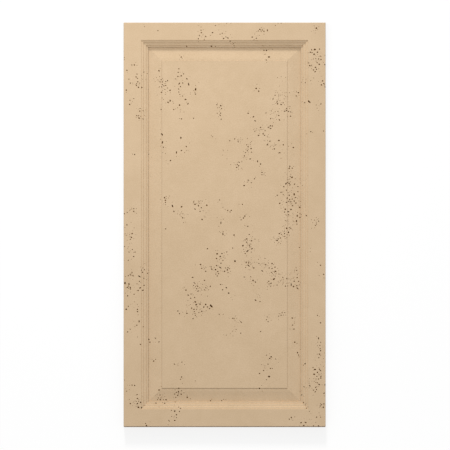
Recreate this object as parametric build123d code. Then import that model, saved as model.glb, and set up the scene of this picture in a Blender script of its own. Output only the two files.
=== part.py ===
from build123d import *
from math import atan2, cos, sin
import os

# Concrete wall panel, cast as one piece, in millimetres. It lies on its plain back, which
# is z = 0, with the width along X, the length along Y and the relief facing +Z.
panel_width = 600.0
panel_length = 1200.0
panel_thickness = 30.0
outer_arris_radius = 1.5
moulded_arris_radius = 0.5

# The border from the outer edge inward: a flat rail, a moulding of three members with steps
# between them, a narrow groove, then a bevel that rises to the low wall of the raised field.
rail_width = 52.3
step_draft = 0.25  # how far each step leans, so that the casting leaves its mould
quirk_depth = 2.6
upper_ovolo_width = 6.4
upper_ovolo_drop = 0.85
upper_step_depth = 2.5
cove_width = 7.5
cove_drop = 1.0
middle_step_depth = 3.7
lower_ovolo_width = 6.1
lower_ovolo_drop = 0.6
lower_step_depth = 4.9
groove_width = 0.9
bevel_width = 36.0
bevel_rise = 5.1
crease_width = 2.5
field_wall_width = 0.8
field_wall_height = 1.45
field_lap = 3.0  # how far the sides run on into the field, past its rounded arris

# How steeply each curve sets out, as a multiple of the slope of its chord.
upper_ovolo_start = 0.07
cove_start = 1.27
lower_ovolo_start = 0.2
bevel_start = 0.59
bevel_turn_share = 0.72  # of the bevel, where it changes from hollow to round


def moved(point, inward, up):
    return point[0] + inward, point[1] + up


def bowed(start, end, slope):
    """An arc that sets out at slope times the angle of its chord."""
    angle = slope * atan2(end[1] - start[1], end[0] - start[0])
    return TangentArc(start, end, tangent=(cos(angle), sin(angle)))


def rounded(section, corner, radius):
    return fillet(section.vertices().sort_by_distance((*corner, 0.0))[0], radius)


# The border's section: x runs inward from the outer edge, and y up from the back.
outer_foot = (0.0, 0.0)
outer_top = (0.0, panel_thickness)
rail_end = moved(outer_top, rail_width, 0.0)
quirk_foot = moved(rail_end, step_draft, -quirk_depth)
upper_arris = moved(quirk_foot, upper_ovolo_width, -upper_ovolo_drop)
cove_top = moved(upper_arris, step_draft, -upper_step_depth)
middle_arris = moved(cove_top, cove_width, -cove_drop)
lower_top = moved(middle_arris, step_draft, -middle_step_depth)
lower_arris = moved(lower_top, lower_ovolo_width, -lower_ovolo_drop)
groove_foot = moved(lower_arris, step_draft, -lower_step_depth)
bevel_foot = moved(groove_foot, groove_width, 0.0)
bevel_turn = moved(bevel_foot, bevel_width * bevel_turn_share, bevel_rise * bevel_turn_share)
bevel_end = moved(bevel_foot, bevel_width, bevel_rise)
wall_foot = moved(bevel_end, crease_width, 0.0)
field_edge = moved(wall_foot, field_wall_width, field_wall_height)
border_width, field_thickness = field_edge
side_width = border_width + field_lap
side_top = (side_width, field_thickness)
side_foot = (side_width, 0.0)


def border_section():
    """The moulded section as a face, with its arrises rounded."""
    outline = Curve() + [
        Polyline(outer_foot, outer_top, rail_end, quirk_foot),
        bowed(quirk_foot, upper_arris, upper_ovolo_start),
        Line(upper_arris, cove_top),
        bowed(cove_top, middle_arris, cove_start),
        Line(middle_arris, lower_top),
        bowed(lower_top, lower_arris, lower_ovolo_start),
        Polyline(lower_arris, groove_foot, bevel_foot),
        bowed(bevel_foot, bevel_turn, bevel_start),
        bowed(bevel_turn, bevel_end, 2.0 - bevel_start),
        Polyline(bevel_end, wall_foot, field_edge, side_top, side_foot, outer_foot),
    ]
    section = rounded(make_face(outline), outer_top, outer_arris_radius)
    for corner in (rail_end, upper_arris, middle_arris, lower_arris, field_edge):
        section = rounded(section, corner, moulded_arris_radius)
    return section


def mitred_side(length):
    """One side of the border, its outer edge on x = 0, with both ends cut at 45 degrees."""
    half = length / 2
    bar = extrude(Plane.XZ * border_section(), amount=half, both=True)
    inner_half = half - side_width
    plan = Polygon(
        (0.0, -half), (side_width, -inner_half), (side_width, inner_half), (0.0, half), align=None
    )
    return bar & extrude(plan, panel_thickness)


def wall_panel():
    """Four mitred sides and the flat field, as one solid."""
    left = Pos(-panel_width / 2, 0, 0) * mitred_side(panel_length)
    bottom = Pos(0, -panel_length / 2, 0) * Rot(0, 0, 90) * mitred_side(panel_width)
    middle = Rectangle(panel_width - 2 * side_width, panel_length - 2 * side_width)
    field = extrude(middle, field_thickness)
    half_turn = Rot(0, 0, 180)
    return field + [left, bottom, half_turn * left, half_turn * bottom]


panel = wall_panel()
panel.label = "wall_panel"
os.makedirs("parts", exist_ok=True)
export_step(panel, "parts/wall_panel.step")
print("wall_panel:", round(panel.volume / 1e6, 3), "litres,", len(panel.faces()), "faces")
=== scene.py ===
import math
import random

import bmesh
import bpy
from mathutils import Matrix, Vector, noise


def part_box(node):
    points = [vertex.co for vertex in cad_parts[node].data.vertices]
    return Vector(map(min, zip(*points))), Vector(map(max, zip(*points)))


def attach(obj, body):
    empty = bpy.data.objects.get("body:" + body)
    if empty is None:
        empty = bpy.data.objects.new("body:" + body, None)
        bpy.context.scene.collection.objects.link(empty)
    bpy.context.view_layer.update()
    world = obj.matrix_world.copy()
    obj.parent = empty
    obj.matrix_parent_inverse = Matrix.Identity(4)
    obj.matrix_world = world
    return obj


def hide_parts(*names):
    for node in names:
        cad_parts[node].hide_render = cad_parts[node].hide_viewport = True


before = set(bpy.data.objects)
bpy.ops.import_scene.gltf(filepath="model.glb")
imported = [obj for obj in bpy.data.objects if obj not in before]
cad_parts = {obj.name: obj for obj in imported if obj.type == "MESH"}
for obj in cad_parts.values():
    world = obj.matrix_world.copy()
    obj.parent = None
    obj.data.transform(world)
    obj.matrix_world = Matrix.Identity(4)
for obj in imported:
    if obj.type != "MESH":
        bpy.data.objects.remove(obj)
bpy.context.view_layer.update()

# Cast concrete wall panel lying on its back, moulded face up, in metres.
# Its size comes from the solid: width along X, length along Y.
low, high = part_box("wall_panel")
panelWidth, panelLength, panelThickness = high - low
mm = 0.001


# The moulded section from the outer edge inward: how wide each member is, how far it rises,
# and for a curve how steeply it sets out against its chord and how many faces it has.
moulding = {
    "outerArris": 1.5 * mm,
    "outerArrisFaces": 4,
    "arris": 0.5 * mm,
    "arrisFaces": 2,
    "members": {
        "rail": {"wide": 52.3 * mm, "rise": 0.0, "rounded": True},
        "quirk": {"wide": 0.25 * mm, "rise": -2.6 * mm},
        "upperOvolo": {"wide": 6.4 * mm, "rise": -0.85 * mm, "start": 0.07, "faces": 4, "rounded": True},
        "upperStep": {"wide": 0.25 * mm, "rise": -2.5 * mm},
        "cove": {"wide": 7.5 * mm, "rise": -1.0 * mm, "start": 1.27, "faces": 4, "rounded": True},
        "middleStep": {"wide": 0.25 * mm, "rise": -3.7 * mm},
        "lowerOvolo": {"wide": 6.1 * mm, "rise": -0.6 * mm, "start": 0.2, "faces": 4, "rounded": True},
        "lowerStep": {"wide": 0.25 * mm, "rise": -4.9 * mm},
        "groove": {"wide": 0.9 * mm, "rise": 0.0},
        "bevelFoot": {"wide": 25.92 * mm, "rise": 3.672 * mm, "start": 0.59, "faces": 6},
        "bevelTop": {"wide": 10.08 * mm, "rise": 1.428 * mm, "start": 1.41, "faces": 4},
        "crease": {"wide": 2.5 * mm, "rise": 0.0},
        "fieldWall": {"wide": 0.8 * mm, "rise": 1.45 * mm, "rounded": True},
    },
    "cell": 20 * mm,
}


def memberSteps(member):
    # a straight member is one step, a curve is short steps along its arc
    wide, rise = member["wide"], member["rise"]
    if "start" not in member:
        return [(wide, rise)]
    chordAngle = math.atan2(rise, wide)
    startAngle = member["start"] * chordAngle
    endAngle = (2 - member["start"]) * chordAngle
    radius = math.hypot(wide, rise) / (2 * math.sin((endAngle - startAngle) / 2))
    steps = []
    here = (0.0, 0.0)
    for i in range(1, member["faces"] + 1):
        angle = startAngle + (endAngle - startAngle) * i / member["faces"]
        there = (
            radius * (math.sin(angle) - math.sin(startAngle)),
            radius * (math.cos(startAngle) - math.cos(angle)),
        )
        steps.append((there[0] - here[0], there[1] - here[1]))
        here = there
    return steps


def castBody():
    # the slab, then one inset for each step of the section, which mitres the corners
    bm = bmesh.new()
    bmesh.ops.create_cube(bm, size=1.0)
    bmesh.ops.scale(bm, vec=(panelWidth, panelLength, panelThickness), verts=bm.verts)
    bmesh.ops.translate(bm, vec=(low + high) / 2, verts=bm.verts)
    bm.faces.ensure_lookup_table()
    field = max(bm.faces, key=lambda f: f.calc_center_median().z)
    roundedEdges = []
    outerEdges = list(field.edges)
    for member in moulding["members"].values():
        for wide, rise in memberSteps(member):
            bmesh.ops.inset_region(bm, faces=[field], thickness=wide, depth=rise, use_even_offset=True)
        if member.get("rounded"):
            roundedEdges += list(field.edges)
    bmesh.ops.bevel(
        bm, geom=roundedEdges, offset=moulding["arris"], offset_type="OFFSET",
        segments=moulding["arrisFaces"], profile=0.5, affect="EDGES", material=-1,
    )
    bmesh.ops.bevel(
        bm, geom=outerEdges, offset=moulding["outerArris"], offset_type="OFFSET",
        segments=moulding["outerArrisFaces"], profile=0.5, affect="EDGES", material=-1,
    )
    # cuts into cells keep the faces round the pores small
    for axis, size in enumerate((panelWidth, panelLength)):
        count = round(size / moulding["cell"])
        for i in range(1, count):
            point, normal = Vector((0, 0, 0)), Vector((0, 0, 0))
            point[axis] = (i / count - 0.5) * size
            normal[axis] = 1
            everything = bm.verts[:] + bm.edges[:] + bm.faces[:]
            bmesh.ops.bisect_plane(bm, geom=everything, plane_co=point, plane_no=normal)
    return bm


def faceHeight(x, y):
    # about how high the moulded face is at a place, its curves taken as straight
    inward = min(panelWidth / 2 - abs(x), panelLength / 2 - abs(y))
    height = panelThickness
    for member in moulding["members"].values():
        share = min(1.0, max(0.0, inward / member["wide"]))
        height += share * member["rise"]
        inward -= member["wide"]
    return height


# Pores of the cast face, in millimetres from its centre. A roundness is width against length.
pores = {
    "seed": 7,
    "apart": 1.05,  # against the two half lengths together
    "edgeMargin": 1,
    # pores placed one by one: the large ones have this share of the size listed
    "largeShare": 0.83,
    "singleRadius": (1.3, 2.3),
    "singleRoundness": (0.75, 1.0),
    # pores of a patch: mostly near the least radius, some in a ring round the middle
    "radius": (1.1, 2.9),
    "smallness": 1.7,
    "roundness": (0.55, 1.0),
    "crowd": 1.35,
    "tries": 16,
    "spread": 0.95,
    "rings": 0.3,
    "ringReach": (0.75, 1.05),
    # the smallest pores, close round each of the others
    "satellites": 2,
    "satelliteRadius": (0.8, 1.5),
    "satelliteReach": (3.5, 13.0),
    "satelliteRoundness": 0.85,
    # the pebble that cuts a pore: its depth against its mean half size, the share of the depth by
    # which its middle stands above the face, the half size from which it is finer, and its lumps
    "depth": (0.9, 1.4),
    "raised": 0.15,
    "fineFrom": 1.8,
    "lump": 0.45,
    "lumpScale": 1.3,
    "lumpShift": 50,
    # and the share of the depth that keeps the colour of the face
    "rimShare": 0.3,
    # patches: x, y, half width, half height, how many
    "patches": [
        # top rail and its moulding
        (-64, 563, 9, 15, 2), (4, 557, 15, 9, 3), (17, 536, 8, 6, 3), (114, 575, 18, 6, 6),
        (89, 554, 8, 6, 3), (265, 584, 9, 6, 3), (117, 520, 9, 4, 3),
        # right rail
        (271, 492, 18, 38, 8), (234, 427, 9, 9, 4), (290, 415, 6, 9, 3), (279, 346, 8, 8, 3),
        (273, 0, 12, 16, 5), (281, -358, 6, 38, 3), (271, -459, 18, 38, 8), (288, -535, 9, 8, 2),
        # left rail
        (-255, 424, 9, 24, 3), (-249, 326, 12, 18, 2), (-270, 44, 9, 9, 2), (-281, -30, 12, 15, 5),
        (-276, -146, 8, 8, 2), (-282, -183, 8, 8, 3), (-284, -318, 5, 5, 1), (-258, -530, 9, 20, 3),
        # left of the field, its bevel and the lower rail
        (-182, 419, 15, 18, 5), (-132, 441, 9, 15, 2), (-135, 400, 6, 8, 1), (-176, 76, 3, 11, 2),
        (-129, 23, 9, 9, 3), (-77, 54, 15, 15, 6), (-180, -517, 15, 6, 3), (-135, -500, 12, 15, 3),
        (-147, -553, 8, 28, 2),
        # upper field
        (-15, 346, 12, 14, 2), (96, 400, 10, 8, 4), (161, 379, 21, 24, 16), (219, 385, 7, 6, 3),
        (187, 338, 8, 8, 4), (152, 332, 18, 15, 10), (105, 281, 15, 18, 9), (136, 290, 5, 5, 2),
        (152, 237, 24, 15, 10), (40, 252, 9, 9, 5), (71, 228, 7, 33, 9), (38, 179, 6, 6, 3),
        (111, 152, 5, 6, 2), (66, 133, 9, 9, 2),
        # middle of the field
        (197, 68, 24, 77, 41), (19, 38, 5, 5, 2), (-11, 14, 8, 6, 1), (176, -27, 12, 10, 8),
        (155, -47, 9, 8, 5), (-5, -26, 8, 8, 2), (69, -45, 15, 18, 9), (69, -75, 15, 12, 6),
        (-2, -92, 9, 9, 3), (69, -116, 9, 9, 5), (-22, -134, 11, 11, 3), (9, -136, 9, 9, 6),
        (-64, -128, 8, 6, 2), (105, -119, 24, 15, 10), (142, -140, 12, 24, 11),
        (137, -179, 5, 5, 2), (179, -167, 11, 11, 8), (206, -161, 15, 30, 10), (87, -170, 5, 5, 2),
        # lower field
        (-85, -184, 12, 12, 5), (-55, -187, 9, 9, 3), (-106, -211, 8, 8, 1), (-85, -238, 18, 15, 5),
        (-61, -250, 9, 9, 2), (99, -217, 9, 18, 3), (51, -291, 9, 9, 1), (28, -279, 5, 5, 2),
        (168, -265, 9, 9, 4), (127, -276, 7, 6, 3), (201, -291, 7, 6, 1), (16, -321, 8, 8, 1),
        (135, -412, 20, 25, 3),
    ],
    # small and round, one by one: x, y
    "single": [
        # top and right rails and the right half of the field
        (-42, 562), (103, 562), (6, 597), (168, 598), (151, 591), (-238, 588), (-198, 576),
        (-70, 587), (-69, 557), (-78, 552), (-113, 530), (142, 521), (284, 500), (250, 480),
        (238, 362), (294, 278), (256, 276), (227, 161), (254, -81), (285, -121), (294, -148),
        (276, -270), (285, -292), (86, 321), (124, 489), (193, 392), (-5, 222), (-3, 219), (7, 195),
        (9, 192), (53, 60), (24, -70), (6, -187), (19, -217), (5, -329), (24, -317), (34, -312),
        (48, -323), (107, -318),
        # lower right
        (220, -388), (234, -418), (283, -359), (285, -389), (294, -398), (294, -421), (286, -451),
        (266, -466), (251, -471), (142, -428), (119, -426), (116, -434), (104, -443), (124, -461),
        (104, -487), (240, -536), (243, -546), (252, -555), (293, -543), (192, -578), (285, -572),
        (252, -578), (264, -598), (279, -598),
        # left rail
        (-298, 496), (-298, 490), (-268, 474), (-290, 458), (-259, 434), (-284, 432), (-280, 420),
        (-262, 413), (-292, 399), (-292, 393), (-281, 369), (-282, 357), (-251, 345), (-252, 337),
        (-242, 338), (-256, 323), (-249, 321), (-273, 209), (-267, 208), (-298, 32), (-270, 39),
        (-289, 36), (-296, -9), (-291, -32), (-297, -65), (-284, -82), (-286, -106), (-229, -145),
        (-280, -148), (-275, -142), (-286, -152), (-260, -176), (-280, -187), (-269, -207),
        (-268, -230), (-259, -237), (-286, -243), (-257, -268), (-259, -334), (-297, -462),
        (-291, -495), (-283, -519), (-262, -525), (-255, -525), (-263, -540), (-235, -591),
        # left of the field and its bevel
        (-129, 498), (-126, 494), (-122, 448), (-193, 440), (-198, 430), (-185, 424), (-86, 413),
        (-194, 410), (-131, 410), (-184, 399), (-88, 393), (-182, 372), (-152, 361), (-140, 347),
        (-16, 348), (-9, 345), (-131, 341), (-12, 331), (-22, 331), (-13, 324), (-10, 313),
        (-92, 316), (-128, 314), (-226, 209), (-184, 214), (-119, 214), (-114, 232), (-36, 261),
        (-174, 83), (-176, 59), (-15, 73), (-5, 51), (-64, 41), (-124, 32), (-133, 29), (-22, 21),
        (-4, 16), (-175, -13),
        # lower left of the field, its bevel and the lower rail
        (-5, -107), (-24, -122), (-40, -126), (-56, -139), (-26, -148), (-88, -176), (-12, -178),
        (-6, -194), (-69, -209), (-51, -213), (-89, -217), (-77, -262), (-134, -265), (-16, -267),
        (-4, -267), (-87, -270), (-222, -350), (-205, -401), (-127, -409), (-139, -418),
        (-87, -465), (-121, -500), (-192, -507), (-145, -514), (-182, -521), (-178, -531),
        (-158, -552), (-157, -570),
    ],
    # large and often long: x, y, length, width, turn in degrees
    "large": [
        # top and right rails
        (268, 520, 9, 6, 20), (282, 521, 5, 5, 0), (276, 512, 7, 4.5, 40), (266, 506, 7, 6, 0),
        (279, 492, 5, 4.5, 0), (275, 481, 6, 3.5, 130), (281, 476, 8, 5, 145), (270, 467, 6, 5, 0),
        (264, 459, 5, 4.5, 0), (273, 461, 6, 4, 100), (269, 454, 6.5, 4, 30), (298, 475, 6, 4, 90),
        (253, 472, 7, 4.5, 140), (251, 365, 14, 5.5, 140), (238, 362, 5, 4, 0),
        (295, 419, 6, 4.5, 0), (127, 577, 8, 4, 95), (100, 575, 5, 3.5, 90), (279, 10, 6, 4, 140),
        (267, 13, 4, 4, 0), (279, -338, 8, 4, 95), (284, -369, 5, 4, 0), (285, -375, 6, 4.5, 80),
        (268, -431, 9, 6, 20), (282, -430, 5, 5, 0), (276, -439, 7, 4.5, 40), (266, -445, 7, 6, 0),
        (279, -459, 5, 4.5, 0), (275, -470, 6, 3.5, 130), (281, -475, 8, 5, 145),
        (270, -484, 5, 5, 0), (264, -492, 5, 4.5, 0), (273, -490, 6, 4, 100),
        (269, -497, 6.5, 4, 30), (298, -476, 6, 4, 90), (253, -479, 7, 4.5, 140),
        (-27, 591, 5, 3, 0), (-70, 577, 5, 4, 0), (-69, 570, 5, 4.5, 0), (-36, 570, 6, 5, 0),
        (-7, 568, 5, 4, 0), (-3, 553, 6, 5, 0), (-60, 548, 5, 4, 0), (-39, 530, 6, 6, 0),
        (-27, 529, 5, 3, 0),
        # left rail
        (-276, 474, 6, 3, 0), (-260, 447, 5, 4, 0), (-258, 424, 6, 4, 0), (-253, 420, 5, 3, 0),
        (-261, 418, 5, 3.5, 0), (-256, 408, 7, 5, 130), (-246, 407, 5.5, 5, 0),
        (-270, 374, 6, 3, 150), (-254, 316, 8, 5, 145), (-241, 313, 5, 5, 0), (-270, 47, 5, 4.5, 0),
        (-290, -1, 6, 4, 90), (-277, -38, 9, 3.5, 150), (-280, -44, 6, 3.5, 30),
        (-274, -74, 5, 3.5, 120), (-266, -82, 5, 4, 0), (-270, -95, 6, 5, 0),
        (-243, -129, 5, 3, 20), (-238, -134, 5, 3.5, 60), (-247, -136, 7, 3, 90),
        (-244, -142, 5.5, 5, 0), (-272, -152, 5, 4.5, 0), (-253, -154, 12, 4, 145),
        (-240, -160, 5, 4.5, 0), (-253, -169, 5, 4.5, 0), (-296, -174, 9, 7, 110),
        (-285, -183, 5, 3.5, 120), (-240, -181, 6, 5, 0), (-251, -188, 8, 4.5, 30),
        (-257, -196, 6, 5, 0), (-242, -195, 9, 5, 15), (-288, -212, 5, 5, 0),
        (-292, -252, 6.5, 6, 0), (-259, -252, 5, 5, 0), (-259, -259, 5, 4.5, 0),
        (-254, -288, 9, 5, 90), (-261, -299, 6, 4, 0), (-242, -304, 6, 3.5, 45),
        (-288, -319, 5, 4.5, 0), (-250, -356, 5, 4.5, 0), (-275, -477, 5, 5, 0),
        (-267, -478, 5, 5, 0), (-260, -505, 5, 4.5, 0), (-259, -517, 5.5, 5, 0),
        (-259, -532, 7, 5, 60), (-256, -543, 8, 6, 130), (-247, -544, 6, 6, 0),
        (-280, -532, 5, 5, 0),
        # upper left of the field
        (-107, 417, 12, 4.5, 105), (-135, 419, 9, 4.5, 55), (-86, 402, 11, 5.5, 80),
        (-81, 406, 6, 3, 60), (-87, 388, 6, 4, 160), (-168, 363, 7, 5, 140), (-162, 368, 9, 5, 75),
        (-112, 433, 7, 4.5, 130), (-116, 372, 7, 5, 0), (-109, 359, 8, 4.5, 60),
        (-134, 355, 7, 5, 90), (-195, 457, 7, 4.5, 130), (-189, 431, 5, 3.5, 30),
        (-192, 424, 5, 4, 120), (-185, 416, 5, 3.5, 0), (-187, 409, 5, 4, 120),
        (-175, 425, 5.5, 3.5, 0), (-175, 413, 6, 5, 0), (-170, 406, 5, 3, 0),
        (-136, 463, 5, 4.5, 0), (-138, 452, 6, 4, 110), (-129, 442, 6, 4.5, 130),
        (-139, 440, 6, 4.5, 45), (-146, 433, 5, 3, 0), (-137, 403, 5, 4, 130), (-136, 394, 5, 4, 0),
        (-133, 387, 5, 3, 0), (-125, 382, 5, 3.5, 120), (-151, 342, 5, 4.5, 0),
        (-189, 342, 5, 4, 0), (-23, 356, 5, 4, 0), (-11, 353, 7, 5, 130),
        # middle left of the field
        (-186, 268, 11.5, 5, 125), (-185, 244, 10, 5, 80), (-182, 230, 5, 5, 0),
        (-130, 258, 9, 5, 90), (-128, 220, 6, 5, 0), (-143, 214, 12, 4, 84), (-161, 190, 5, 5, 0),
        (-176, 72, 6, 5, 0), (-176, 66, 5, 4.5, 0), (-155, 55, 12, 5, 105), (-151, 39, 6, 5.5, 0),
        (-128, 53, 8, 5, 45), (-88, 60, 6, 6, 0), (-92, 67, 5, 4, 45), (-88, 46, 7, 4.5, 140),
        (-78, 56, 7, 4, 90), (-73, 39, 5, 4, 0), (-69, 50, 5, 4, 0), (-67, 15, 6, 5, 150),
        (-125, 20, 6, 4, 90), (-11, 5, 10, 3.5, 90), (-5, -28, 10, 4, 95), (-51, -72, 6, 5, 0),
        # lower left of the field
        (-22, -87, 7, 6, 0), (-8, -86, 6, 4.5, 0), (-13, -95, 7, 5, 40), (-24, -101, 6, 5, 0),
        (-11, -115, 5, 4.5, 0), (-13, -128, 12, 4, 140), (-38, -133, 8, 4.5, 125),
        (-20, -140, 6, 5, 0), (-18, -146, 5, 4, 90), (-22, -153, 6, 4, 30), (-68, -130, 6, 4, 10),
        (-60, -166, 6, 4, 0), (-95, -157, 7, 3.5, 0), (-115, -195, 6, 5, 0),
        (-108, -210, 7, 5, 150), (-101, -219, 6, 5, 0), (-87, -230, 8, 6, 145),
        (-80, -184, 5, 4.5, 0), (-83, -191, 5, 4, 0), (-79, -198, 7, 4, 30),
        (-56, -188, 6, 3.5, 140), (-60, -194, 5, 4, 0), (-73, -237, 8, 4.5, 90),
        (-62, -246, 9, 4, 75), (-68, -258, 6, 5, 0), (-94, -280, 6, 3.5, 35), (-98, -249, 7, 4, 90),
        (-91, -252, 6, 4, 0), (-90, -259, 5, 4, 0), (-83, -252, 5, 3, 50), (-112, -264, 6, 5, 0),
        (-139, -257, 6, 4, 0), (-40, -242, 14, 7, 130), (-51, -245, 6, 5, 0),
        (-45, -250, 5, 4.5, 0),
        # lower end of the field, its bevel, moulding and rail
        (-225, -342, 7, 5, 130), (-206, -338, 7, 3.5, 140), (-195, -349, 6, 4, 35),
        (-211, -406, 6.5, 5, 70), (-149, -415, 6, 4, 150), (-128, -453, 7, 4, 60),
        (-131, -460, 5, 3.5, 40), (-195, -492, 6.5, 5, 0), (-197, -516, 5, 4, 140),
        (-189, -516, 5, 3.5, 50), (-191, -521, 7, 4, 150), (-174, -521, 7, 5, 160),
        (-204, -531, 5.5, 4, 0), (-136, -487, 6, 5, 0), (-137, -497, 8, 4.5, 95),
        (-139, -508, 7, 5, 50), (-129, -505, 7, 5, 120), (-111, -514, 6, 6, 0),
        (-146, -527, 6, 4.5, 0), (-131, -546, 5, 4.5, 0), (-134, -555, 5, 4, 0),
        (-143, -565, 5.5, 5, 0), (-148, -582, 6, 5.5, 0), (-165, -583, 8, 3, 130),
        (-232, -597, 6, 6, 0), (-42, -524, 5, 4.5, 0), (-9, -524, 5, 4, 0), (209, -350, 6, 5.5, 0),
        (217, -381, 7, 5, 100), (239, -414, 6, 5, 60), (236, -482, 6, 3, 130),
        (134, -398, 5.5, 5, 0), (129, -415, 5, 4, 0), (152, -400, 5, 3, 120), (132, -452, 9, 7, 0),
        (229, -507, 6, 4, 0), (234, -529, 5, 4.5, 0), (295, -533, 6, 5, 0), (284, -539, 5, 4, 0),
        (198, -573, 5.5, 5, 0), (273, -572, 5.5, 5, 0), (227, -589, 8, 5, 20), (241, -588, 6, 5, 0),
        (235, -597, 7, 5, 30),
        # upper right of the field and its bevel
        (70, 331, 6, 5, 0), (86, 320, 8, 4.5, 40), (91, 308, 8, 3.5, 160), (132, 498, 8, 7, 0),
        (168, 357, 7, 4.5, 150), (150, 384, 5, 4, 0), (144, 373, 8, 3.5, 80),
        (156, 365, 8, 3.5, 60), (190, 336, 6, 4.5, 130), (184, 345, 5, 4, 0), (196, 322, 5, 4.5, 0),
        (161, 324, 6, 4, 160), (163, 311, 8, 4, 110), (137, 315, 6, 4, 60), (130, 289, 5, 4.5, 0),
        (142, 293, 5, 4.5, 0), (119, 265, 5, 4.5, 0), (79, 226, 6, 5, 0), (80, 215, 5, 4, 0),
        (66, 237, 5, 4, 0), (59, 204, 5, 4, 90), (41, 246, 5, 4, 0), (15, 249, 5, 4, 0),
        (163, 213, 9, 4, 10), (98, 188, 9, 4, 95), (107, 180, 8, 4, 70), (43, 185, 7, 3.5, 135),
        (38, 178, 5, 4, 0), (36, 170, 5.5, 5, 0), (76, 195, 7, 4, 20), (111, 155, 6, 4, 0),
        (111, 148, 5, 3, 0), (89, 136, 5, 4, 0), (58, 116, 6, 5, 0),
        # right edge of the field and its bevel
        (195, 143, 5, 3.5, 80), (192, 122, 5.5, 5, 0), (208, 120, 6, 3.5, 30), (184, 102, 5, 4, 60),
        (168, 96, 5, 4, 0), (157, 87, 5, 5, 0), (207, 90, 10, 5.5, 85), (211, 80, 8, 4.5, 20),
        (186, 78, 8, 4, 80), (207, 70, 6, 4, 120), (191, 69, 5, 4, 0), (184, 66, 5, 4.5, 0),
        (212, 64, 7, 4.5, 20), (164, 63, 7, 5.5, 60), (202, 56, 6, 5, 0), (223, 51, 7, 6, 30),
        (189, 38, 9, 4.5, 20), (190, 29, 6, 4, 0), (224, 32, 5, 3.5, 90), (216, 26, 8, 5, 85),
        (224, 21, 5, 5, 0), (214, 10, 8, 5.5, 90), (215, 1, 6, 4, 90), (190, -24, 9, 5, 95),
        (178, -27, 7, 3.5, 60), (163, -27, 5.5, 5, 0), (166, -40, 5.5, 4.5, 0),
        # middle and lower right of the field
        (60, 25, 6, 5, 60), (56, 19, 6, 5, 60), (49, 14, 5, 4, 0), (69, -5, 6, 4, 10),
        (28, -31, 6, 6, 0), (68, -79, 12, 4.5, 45), (81, -72, 9, 4, 30), (61, -86, 5, 4, 0),
        (31, -109, 9, 6, 110), (71, -122, 11, 4.5, 140), (112, -138, 9, 4, 130),
        (141, -116, 6, 5.5, 0), (121, -119, 5, 4.5, 0), (102, -116, 5, 4, 0), (141, -131, 5, 5, 0),
        (151, -139, 8, 5, 0), (147, -162, 10, 7, 30), (138, -175, 8, 4, 45), (137, -183, 6, 3, 0),
        (156, -180, 5, 4, 0), (181, -183, 5, 4, 0), (173, -157, 5, 4, 0), (185, -161, 7, 4, 120),
        (207, -169, 6, 5, 60), (198, -179, 12, 3.5, 92), (217, -190, 10, 4, 130),
        (92, -171, 6, 4, 100), (59, -156, 7, 3, 0), (12, -204, 6, 6, 0), (5, -188, 7, 5, 140),
        (92, -225, 8, 4.5, 140), (105, -229, 5, 4, 0), (168, -270, 7, 3, 30),
        (171, -262, 6, 3, 100), (49, -290, 8, 3, 140), (54, -293, 6, 3, 120), (129, -289, 5, 4, 0),
        (201, -278, 6, 5, 0), (202, -299, 5, 4, 0), (206, -311, 6, 5, 0),
    ],
}


def porePlaces(chance):
    # every pore as its place, its two half sizes and its turn, kept clear of the others
    places = []
    farX = panelWidth / 2 / mm - pores["edgeMargin"]
    farY = panelLength / 2 / mm - pores["edgeMargin"]

    def add(x, y, size, narrow, turn):
        clear = all(math.hypot(x - p[0], y - p[1]) > pores["apart"] * (size + p[2]) for p in places)
        inside = abs(x) < farX and abs(y) < farY
        if clear and inside:
            places.append((x, y, size, narrow, turn))
        return clear and inside

    def smallSize():
        least, most = pores["radius"]
        return least + (most - least) * chance.random() ** pores["smallness"]

    for x, y, length, width, turn in pores["large"]:
        half = pores["largeShare"] / 2
        add(x, y, length * half, width * half, math.radians(turn))
    for x, y in pores["single"]:
        size = chance.uniform(*pores["singleRadius"])
        add(x, y, size, size * chance.uniform(*pores["singleRoundness"]), chance.uniform(0, math.pi))
    for x, y, halfWide, halfHigh, count in pores["patches"]:
        left = round(count * pores["crowd"])
        for attempt in range(count * pores["tries"]):
            angle, reach = chance.uniform(0, 2 * math.pi), abs(chance.gauss(0, pores["spread"]))
            if chance.random() < pores["rings"]:
                reach = chance.uniform(*pores["ringReach"])
            size = smallSize()
            narrow, turn = size * chance.uniform(*pores["roundness"]), chance.uniform(0, math.pi)
            atX = x + halfWide * reach * math.cos(angle)
            atY = y + halfHigh * reach * math.sin(angle)
            left -= add(atX, atY, size, narrow, turn)
            if left == 0:
                break
    for x, y, size in [place[:3] for place in places]:
        for i in range(chance.randint(0, pores["satellites"])):
            angle = chance.uniform(0, 2 * math.pi)
            reach = size + chance.uniform(*pores["satelliteReach"])
            small = chance.uniform(*pores["satelliteRadius"])
            narrow = small * pores["satelliteRoundness"]
            add(x + reach * math.cos(angle), y + reach * math.sin(angle), small, narrow, angle)
    return places


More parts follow.
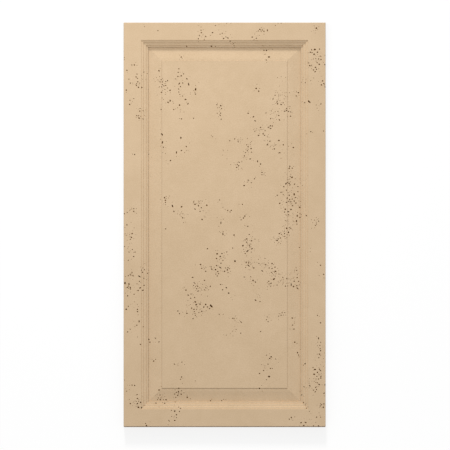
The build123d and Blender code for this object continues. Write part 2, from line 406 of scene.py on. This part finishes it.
def poreCutters(places, chance):
    # one uneven pebble for each pore, sunk into the face, its rim left in the face's own material
    bm = bmesh.new()
    scratch = bpy.data.meshes.new("pebble")
    for x, y, halfLong, halfWide, turn in places:
        x, y = x * mm, y * mm
        depth = (halfLong + halfWide) / 2 * chance.uniform(*pores["depth"])
        place = Matrix.Translation((x, y, faceHeight(x, y) + pores["raised"] * depth * mm))
        spin = Matrix.Rotation(turn, 4, "Z")
        size = Matrix.Diagonal((halfLong * mm, halfWide * mm, depth * mm, 1))
        fineness = 2 if halfLong > pores["fineFrom"] else 1
        pebble = bmesh.new()
        bmesh.ops.create_icosphere(pebble, subdivisions=fineness, radius=1.0, matrix=Matrix.Identity(4))
        far = pores["lumpShift"]
        shift = Vector((chance.uniform(-far, far), chance.uniform(-far, far), 0))
        for vert in pebble.verts:
            vert.co *= 1 + pores["lump"] * noise.noise(vert.co * pores["lumpScale"] + shift)
        for face in pebble.faces:
            # faces deep in the pebble take the pore colour, partly dirt and partly painted shade
            face.material_index = 1 if face.calc_center_median().z < -pores["rimShare"] else 0
        bmesh.ops.transform(pebble, matrix=place @ spin @ size, verts=pebble.verts)
        pebble.to_mesh(scratch)
        pebble.free()
        bm.from_mesh(scratch)
    bpy.data.meshes.remove(scratch)
    return bm


def meshObject(name, bm):
    mesh = bpy.data.meshes.new(name)
    bm.to_mesh(mesh)
    bm.free()
    made = bpy.data.objects.new(name, mesh)
    bpy.context.collection.objects.link(made)
    return made


# Looks of the cast face and of the inside of its pores, whose dark brown is partly dirt and partly
# painted shade of the hollows. A noise is its scale and its detail.
concrete = {
    "cloudNoise": (9, 2),
    "mottleNoise": (42, 4),
    "grainNoise": (400, 3),
    "sandNoise": (1100, 1),
    "fade": 0.5,
    "roughness": 0.78,
    "grainRoughness": 0.2,
    "sandHeight": 0.5,
    "bumpDepth": 0.4 * mm,
    "face": {
        "color": (0.646, 0.475, 0.300),
        "cloud": 0.115,
        "mottle": 0.08,
        "grain": 0.34,
        "relief": 0.35,
        "sheen": 0.4,
    },
    # the inside of the pores: dirt together with painted shade of their depth
    "pore": {
        "color": (0.185, 0.078, 0.012),
        "cloud": 0.05,
        "mottle": 0.30,
        "grain": 0.60,
        "relief": 1.0,
        "sheen": 0.1,
    },
    # colour and noise of the shade painted into the inner corners of the section
    "paintedShadeColor": (0.44, 0.47, 0.54),
    "paintedShadeNoise": (30, 3),
    # painted shade in the inner corners: how far in from the outer edge, how far it reaches, how dense
    "paintedCornerShade": [(72.7 * mm, 2.4 * mm, 0.20), (113.6 * mm, 3.5 * mm, 0.11)],
}


def addSocket(group, name, kind, way):
    return group.interface.new_socket(name=name, in_out=way, socket_type=kind)


def mathNode(group, operation, first, second=0.0):
    # an arithmetic node, each input a number or a link from another node
    made = group.nodes.new("ShaderNodeMath")
    made.operation = operation
    for socket, value in zip(made.inputs, (first, second)):
        if isinstance(value, (int, float)):
            socket.default_value = value
        else:
            group.links.new(value, socket)
    return made.outputs["Value"]


def noiseNode(group, place, scale, detail):
    made = group.nodes.new("ShaderNodeTexNoise")
    made.inputs["Scale"].default_value = scale
    made.inputs["Detail"].default_value = detail
    group.links.new(place, made.inputs["Vector"])
    return made.outputs["Fac"]


def castGrainGroup():
    # broad clouds, mottling and sand grain of the casting, as a colour, a roughness and a height
    group = bpy.data.node_groups.new("castGrain", "ShaderNodeTree")
    addSocket(group, "Color", "NodeSocketColor", "INPUT")
    for name in ("Cloud", "Mottle", "Grain"):
        addSocket(group, name, "NodeSocketFloat", "INPUT")
    addSocket(group, "Color", "NodeSocketColor", "OUTPUT")
    addSocket(group, "Roughness", "NodeSocketFloat", "OUTPUT")
    addSocket(group, "Height", "NodeSocketFloat", "OUTPUT")
    nodes, links = group.nodes, group.links
    given, result = nodes.new("NodeGroupInput"), nodes.new("NodeGroupOutput")
    place = nodes.new("ShaderNodeTexCoord").outputs["Object"]
    clouds = noiseNode(group, place, *concrete["cloudNoise"])
    mottle = noiseNode(group, place, *concrete["mottleNoise"])
    grain = noiseNode(group, place, *concrete["grainNoise"])
    sand = noiseNode(group, place, *concrete["sandNoise"])
    # a noise runs from 0 to 1, so half is taken off for one that goes up and down
    tone = 1.0
    for name, pattern in (("Cloud", clouds), ("Mottle", mottle), ("Grain", grain)):
        centred = mathNode(group, "SUBTRACT", pattern, 0.5)
        change = mathNode(group, "MULTIPLY", centred, given.outputs[name])
        tone = mathNode(group, "ADD", change, tone)
    # light spots are paler and dark ones browner
    fade = concrete["fade"]
    paler = mathNode(group, "SUBTRACT", 1 + fade, mathNode(group, "MULTIPLY", tone, fade))
    shade = nodes.new("ShaderNodeHueSaturation")
    links.new(given.outputs["Color"], shade.inputs["Color"])
    links.new(tone, shade.inputs["Value"])
    links.new(paler, shade.inputs["Saturation"])
    links.new(shade.outputs["Color"], result.inputs["Color"])
    grainRough = mathNode(group, "MULTIPLY", grain, concrete["grainRoughness"])
    rough = mathNode(group, "ADD", grainRough, concrete["roughness"])
    links.new(rough, result.inputs["Roughness"])
    sandHeight = mathNode(group, "MULTIPLY", sand, concrete["sandHeight"])
    height = mathNode(group, "ADD", sandHeight, grain)
    links.new(height, result.inputs["Height"])
    return group


def paintedCornerShadeGroup():
    # a mask of the shade painted into the inner corners of the moulded section
    group = bpy.data.node_groups.new("paintedCornerShadeMask", "ShaderNodeTree")
    addSocket(group, "Mask", "NodeSocketFloat", "OUTPUT")
    nodes, links = group.nodes, group.links
    result = nodes.new("NodeGroupOutput")
    place = nodes.new("ShaderNodeTexCoord").outputs["Object"]
    parts = nodes.new("ShaderNodeSeparateXYZ")
    links.new(place, parts.inputs["Vector"])
    acrossX = mathNode(group, "ABSOLUTE", parts.outputs["X"])
    acrossY = mathNode(group, "ABSOLUTE", parts.outputs["Y"])
    fromSide = mathNode(group, "SUBTRACT", panelWidth / 2, acrossX)
    fromEnd = mathNode(group, "SUBTRACT", panelLength / 2, acrossY)
    inward = mathNode(group, "MINIMUM", fromSide, fromEnd)
    mask = 0.0
    for middle, reach, density in concrete["paintedCornerShade"]:
        away = mathNode(group, "ABSOLUTE", mathNode(group, "SUBTRACT", inward, middle))
        near = mathNode(group, "SUBTRACT", 1.0, mathNode(group, "DIVIDE", away, reach))
        mask = mathNode(group, "MAXIMUM", mathNode(group, "MULTIPLY", near, density), mask)
    # the noise is about half, so with half added the painted shade keeps its density but for patches
    patchy = mathNode(group, "ADD", noiseNode(group, place, *concrete["paintedShadeNoise"]), 0.5)
    # every corner of the relief is well above the back, which gets no painted shade
    onFace = mathNode(group, "GREATER_THAN", parts.outputs["Z"], panelThickness / 4)
    mask = mathNode(group, "MULTIPLY", mathNode(group, "MULTIPLY", mask, patchy), onFace)
    links.new(mask, result.inputs["Mask"])
    return group


def concreteMaterial(name, look):
    # cast grain in the colour of the look, with shade painted into the inner corners
    material = bpy.data.materials.new(name)
    material.use_nodes = True
    nodes, links = material.node_tree.nodes, material.node_tree.links
    shader = nodes["Principled BSDF"]
    cast = nodes.new("ShaderNodeGroup")
    cast.node_tree = bpy.data.node_groups["castGrain"]
    cast.inputs["Color"].default_value = (*look["color"], 1)
    for pattern in ("cloud", "mottle", "grain"):
        cast.inputs[pattern.capitalize()].default_value = look[pattern]
    paintedCornerShade = nodes.new("ShaderNodeGroup")
    paintedCornerShade.node_tree = bpy.data.node_groups["paintedCornerShadeMask"]
    # the inner corners are multiplied by the painted shade colour through its mask
    shadeMix = nodes.new("ShaderNodeMix")
    shadeMix.data_type = "RGBA"
    shadeMix.blend_type = "MULTIPLY"
    unshaded, shadeTint = [socket for socket in shadeMix.inputs if socket.type == "RGBA"]
    shadeTint.default_value = (*concrete["paintedShadeColor"], 1)
    links.new(cast.outputs["Color"], unshaded)
    links.new(paintedCornerShade.outputs["Mask"], shadeMix.inputs["Factor"])
    shadedColor = [socket for socket in shadeMix.outputs if socket.type == "RGBA"][0]
    bump = nodes.new("ShaderNodeBump")
    bump.inputs["Strength"].default_value = look["relief"]
    bump.inputs["Distance"].default_value = concrete["bumpDepth"]
    links.new(cast.outputs["Height"], bump.inputs["Height"])
    links.new(shadedColor, shader.inputs["Base Color"])
    links.new(cast.outputs["Roughness"], shader.inputs["Roughness"])
    links.new(bump.outputs["Normal"], shader.inputs["Normal"])
    shader.inputs["Specular IOR Level"].default_value = look["sheen"]
    return material


# Shading and map of the panel. A face lies along an axis when that part of its normal is over
# the share given, and places within a hair of each other are the same.
surface = {
    "sharpAngle": 30,
    "flatShare": 0.9999,
    "sideShare": 0.99,
    "hair": 0.01 * mm,
}


def shadeEdges(mesh):
    # steps and mitres are crisp, curves smooth, and flat members keep flat shading
    mesh.set_sharp_from_angle(angle=math.radians(surface["sharpAngle"]))
    for edge in mesh.edges:
        # on a mitre both ends are as far from the side as from the end of the panel
        ends = [mesh.vertices[i].co for i in edge.vertices]
        gaps = [(panelWidth / 2 - abs(end.x)) - (panelLength / 2 - abs(end.y)) for end in ends]
        if max(abs(gap) for gap in gaps) < surface["hair"]:
            edge.use_edge_sharp = True
    for polygon in mesh.polygons:
        polygon.use_smooth = max(abs(part) for part in polygon.normal) < surface["flatShare"]


def unfoldMap(mesh):
    # the panel unfolded like a box: the face with its four sides folded out, and the back beside
    # it, with half a thickness left free all round
    uvs = mesh.uv_layers.new(name="OFBake").data
    span = panelLength + 4 * panelThickness
    lead = 1.5 * panelThickness
    halfX, halfY = panelWidth / 2, panelLength / 2
    share, hair = surface["sideShare"], surface["hair"]
    for polygon in mesh.polygons:
        middle, normal = polygon.center, polygon.normal
        onSideX = abs(normal.x) > share and abs(middle.x) > halfX - hair
        onSideY = abs(normal.y) > share and abs(middle.y) > halfY - hair
        onBack = normal.z < -share and middle.z < low.z + hair
        for loop in polygon.loop_indices:
            x, y, z = mesh.vertices[mesh.loops[loop].vertex_index].co
            if onSideX:
                x += math.copysign(high.z - z, x)
            elif onSideY:
                y += math.copysign(high.z - z, y)
            elif onBack:
                x += panelWidth + 2 * panelThickness
            uvs[loop].uv = ((x + halfX + lead) / span, (y + halfY + lead) / span)


def wallPanel():
    # the cast body with its pores cut in, shaded and mapped
    chance = random.Random(pores["seed"])
    panel = meshObject("castPanel", castBody())
    places = porePlaces(chance)
    cutters = meshObject("poreCutters", poreCutters(places, chance))
    for thing in (panel, cutters):
        thing.data.materials.append(faceConcrete)
        thing.data.materials.append(poreConcrete)
    cut = panel.modifiers.new("pores", "BOOLEAN")
    cut.operation = "DIFFERENCE"
    cut.solver = "MANIFOLD"
    cut.object = cutters
    graph = bpy.context.evaluated_depsgraph_get()
    porous = bpy.data.meshes.new_from_object(panel.evaluated_get(graph))
    panel.modifiers.clear()
    panel.data = porous
    bpy.data.objects.remove(cutters)
    shadeEdges(porous)
    unfoldMap(porous)
    print("pores:", len(places), "faces:", len(porous.polygons))
    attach(panel, "root")
    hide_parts("wall_panel")


castGrainGroup()
paintedCornerShadeGroup()
faceConcrete = concreteMaterial("castConcrete", concrete["face"])
poreConcrete = concreteMaterial("poreConcrete", concrete["pore"])
print("materials made")
wallPanel()
print("panel made")


# Studio round the panel: angles in degrees, and how far the floor and its strip are below the back.
light = {
    "keyStrength": 2.04,
    "keyElevation": 27,
    "keyAzimuth": 4,
    "keySize": 9.3,
    "softboxPower": 3.0,
    "softboxSize": (0.9, 0.7),
    "softboxPlace": (-0.25, 0.65, 0.95),
    "worldStrength": 0.54,
    "floorSize": 10,
    "floorDrop": 0.5 * mm,
    "floorColor": 0.22,
    "floorGlow": 0.80,
    "contactWidth": 3.2 * mm,
    "contactDrop": 0.4 * mm,
    "contactShadowColor": (0.45, 0.34, 0.26),
}


def placedLight(lamp, turn, place=(0, 0, 0)):
    made = bpy.data.objects.new(lamp.name, lamp)
    made.rotation_euler = turn
    made.location = place
    bpy.context.collection.objects.link(made)


def studioLights():
    # a low key from beyond the upper edge brings out the relief
    key = bpy.data.lights.new("keyLight", "SUN")
    key.energy = light["keyStrength"]
    key.angle = math.radians(light["keySize"])
    tilt, turn = math.radians(light["keyElevation"] - 90), math.radians(light["keyAzimuth"])
    placedLight(key, (tilt, 0, turn))
    # a softbox at the upper left fades towards the lower edge
    softbox = bpy.data.lights.new("softbox", "AREA")
    softbox.energy = light["softboxPower"]
    softbox.shape = "RECTANGLE"
    softbox.size, softbox.size_y = light["softboxSize"]
    placedLight(softbox, (0, 0, 0), light["softboxPlace"])


def studioWorld():
    # white to the camera, dimmer as a light
    world = bpy.data.worlds.new("studio")
    bpy.context.scene.world = world
    world.use_nodes = True
    nodes, links = world.node_tree.nodes, world.node_tree.links
    background = nodes["Background"]
    path = nodes.new("ShaderNodeLightPath")
    strength = nodes.new("ShaderNodeMix")
    strength.inputs["A"].default_value = light["worldStrength"]
    strength.inputs["B"].default_value = 1.0
    links.new(path.outputs["Is Camera Ray"], strength.inputs["Factor"])
    links.new(strength.outputs["Result"], background.inputs["Strength"])
    background.inputs["Color"].default_value = (1, 1, 1, 1)


def studioFloor():
    # a dark matt floor that looks near white, by a glow that only the camera sees
    bm = bmesh.new()
    bmesh.ops.create_grid(bm, x_segments=1, y_segments=1, size=light["floorSize"])
    bmesh.ops.translate(bm, vec=(0, 0, low.z - light["floorDrop"]), verts=bm.verts)
    floor = meshObject("studioFloor", bm)
    material = bpy.data.materials.new("paleFloor")
    material.use_nodes = True
    tree = material.node_tree
    nodes, links = tree.nodes, tree.links
    nodes.remove(nodes["Principled BSDF"])
    matt = nodes.new("ShaderNodeBsdfDiffuse")
    matt.inputs["Color"].default_value = (light["floorColor"],) * 3 + (1,)
    glow = nodes.new("ShaderNodeEmission")
    path = nodes.new("ShaderNodeLightPath")
    strength = mathNode(tree, "MULTIPLY", path.outputs["Is Camera Ray"], light["floorGlow"])
    both = nodes.new("ShaderNodeAddShader")
    links.new(strength, glow.inputs["Strength"])
    links.new(matt.outputs["BSDF"], both.inputs[0])
    links.new(glow.outputs["Emission"], both.inputs[1])
    links.new(both.outputs["Shader"], nodes["Material Output"].inputs["Surface"])
    floor.data.materials.append(material)


def contactShadow():
    # a dark strip painted on the floor along the lower edge, standing in for the thin contact shadow
    bm = bmesh.new()
    bmesh.ops.create_grid(bm, x_segments=1, y_segments=1, size=0.5)
    bmesh.ops.scale(bm, vec=(panelWidth, light["contactWidth"], 1), verts=bm.verts)
    place = (0, low.y - light["contactWidth"] / 2, low.z - light["contactDrop"])
    bmesh.ops.translate(bm, vec=place, verts=bm.verts)
    strip = meshObject("contactShadow", bm)
    material = bpy.data.materials.new("contactShade")
    material.use_nodes = True
    shader = material.node_tree.nodes["Principled BSDF"]
    shader.inputs["Base Color"].default_value = (*light["contactShadowColor"], 1)
    shader.inputs["Roughness"].default_value = 1.0
    strip.data.materials.append(material)


# Long lens and its sensor in millimetres, the width it sees at the face in metres, and how far
# it stands to the side of the panel's middle.
camera = {
    "lens": 300,
    "sensor": 36,
    "viewWidth": 1.3366,
    "offset": (0.0012, -0.00135),
}


def photoCamera():
    # straight above the face, as far off as the lens needs
    data = bpy.data.cameras.new("photoCamera")
    data.lens = camera["lens"]
    data.sensor_width = camera["sensor"]
    made = bpy.data.objects.new("photoCamera", data)
    distance = camera["viewWidth"] * camera["lens"] / camera["sensor"]
    made.location = (*camera["offset"], high.z + distance)
    bpy.context.collection.objects.link(made)
    bpy.context.scene.camera = made


studioLights()
studioWorld()
studioFloor()
contactShadow()
photoCamera()
bpy.context.scene.view_settings.view_transform = "Standard"
print("studio made")
